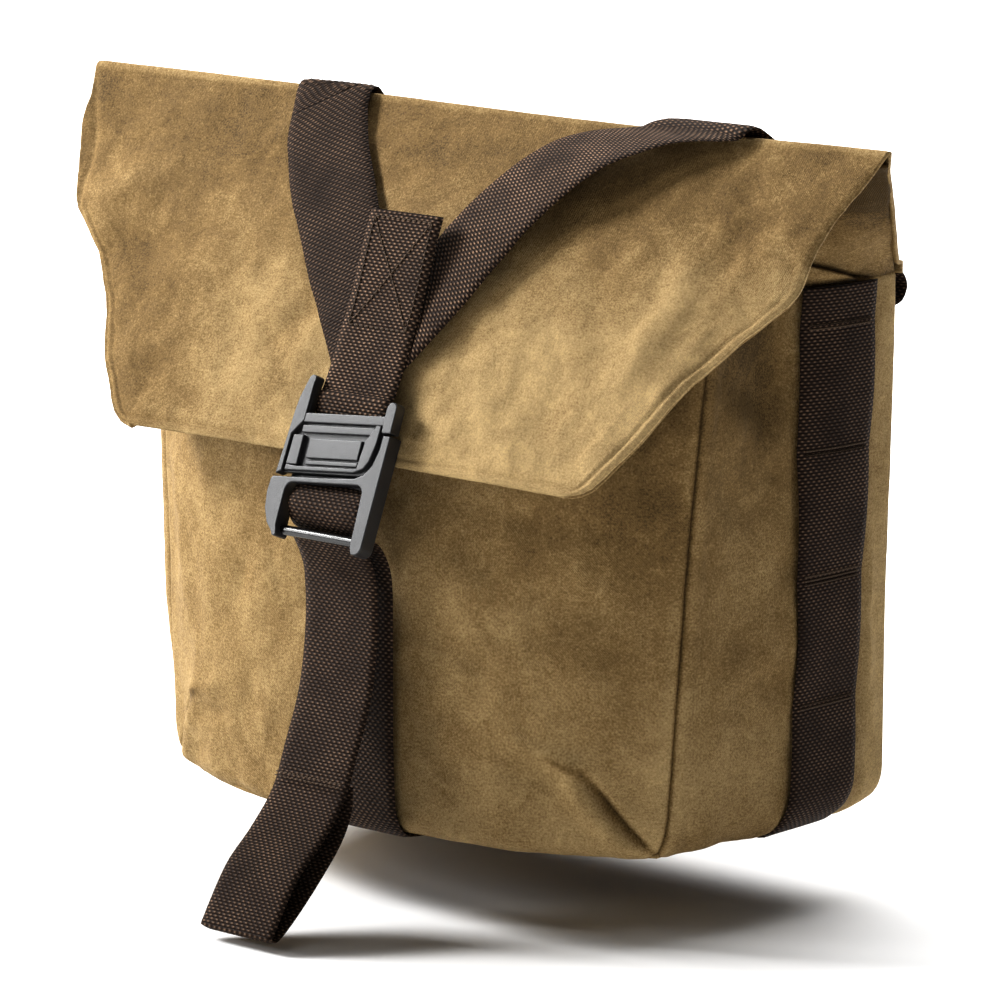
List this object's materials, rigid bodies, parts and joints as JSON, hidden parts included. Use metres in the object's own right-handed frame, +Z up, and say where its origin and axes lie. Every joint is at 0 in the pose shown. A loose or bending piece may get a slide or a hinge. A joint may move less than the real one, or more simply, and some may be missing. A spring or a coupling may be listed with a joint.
{
  "type": "motorcycle saddlebag",
  "caption": "Hanging waxed canvas saddlebag with a wide fold-over flap, Y webbing harness, side-sliding buckle and webbing along its sides.",
  "frame": {"origin": "middle of the flat back face, halfway up from the base to the rim", "axes": "+X to the right along the ridge, +Y out of the back face towards the motorcycle, +Z up"},
  "size_m": [0.414, 0.2467, 0.3105],
  "materials": {
    "canvas": "waxed cotton canvas, mottled and rubbed",
    "webbing": "ribbed woven webbing",
    "lining": "coated plain weave lining",
    "board": "flat plastic sheet",
    "plastic": "satin moulded plastic",
    "metal": "satin steel",
    "thread": "bonded sewing thread"
  },
  "bodies": {
    "bag": {"front_panel": "canvas", "side_panel_left": "canvas", "side_panel_right": "canvas", "back_panel": "canvas", "bottom_panel": "canvas", "rear_rim_band": "canvas", "rear_yoke": "canvas", "collar_front": "canvas", "collar_gusset_left": "canvas", "collar_gusset_right": "canvas", "liner": "lining", "back_stiffener": "board", "base_stiffener": "board", "side_webbing_left": "webbing", "side_webbing_right": "webbing", "belly_webbing": "webbing", "side_bartacks_left": "thread", "side_bartacks_right": "thread", "rear_strap_left": "webbing", "rear_strap_right": "webbing", "bottom_strap_left": "webbing", "bottom_strap_right": "webbing", "mount_loop_left": "webbing", "mount_loop_right": "webbing"},
    "flap": {"flap_panel": "canvas", "flap_lining": "lining", "flap_hem": "canvas", "flap_fold": "canvas"},
    "harness": {"y_strap_left": "webbing", "y_strap_right": "webbing", "y_tab": "webbing", "tab_stitching": "thread", "buckle_upper": "plastic", "magnet_upper": "metal"},
    "buckle": {"front_strap": "webbing", "buckle_lower": "plastic", "magnet_lower": "metal", "ladder_bar": "metal"},
    "tail": {"tail_strap": "webbing", "tail_stitching": "thread"}
  },
  "joints": [
    {"name": "flap_hinge", "type": "hinge", "parent": "bag", "child": "flap", "pos_m": [0, -0.0844, 0.1676], "axis": [-1, 0, 0], "range_deg": [0, 130]},
    {"name": "strap_lift", "type": "hinge", "parent": "flap", "child": "harness", "pos_m": [0, -0.0844, 0.1676], "axis": [-1, 0, 0], "range_deg": [0, 50]},
    {"name": "buckle_release", "type": "slide", "parent": "bag", "child": "buckle", "axis": [1, 0, 0], "range_m": [0, 0.026]},
    {"name": "tail_swing", "type": "hinge", "parent": "buckle", "child": "tail", "pos_m": [0.006, -0.18041, 0.01153], "axis": [-1, 0, 0], "range_deg": [0, 75]}
  ]
}
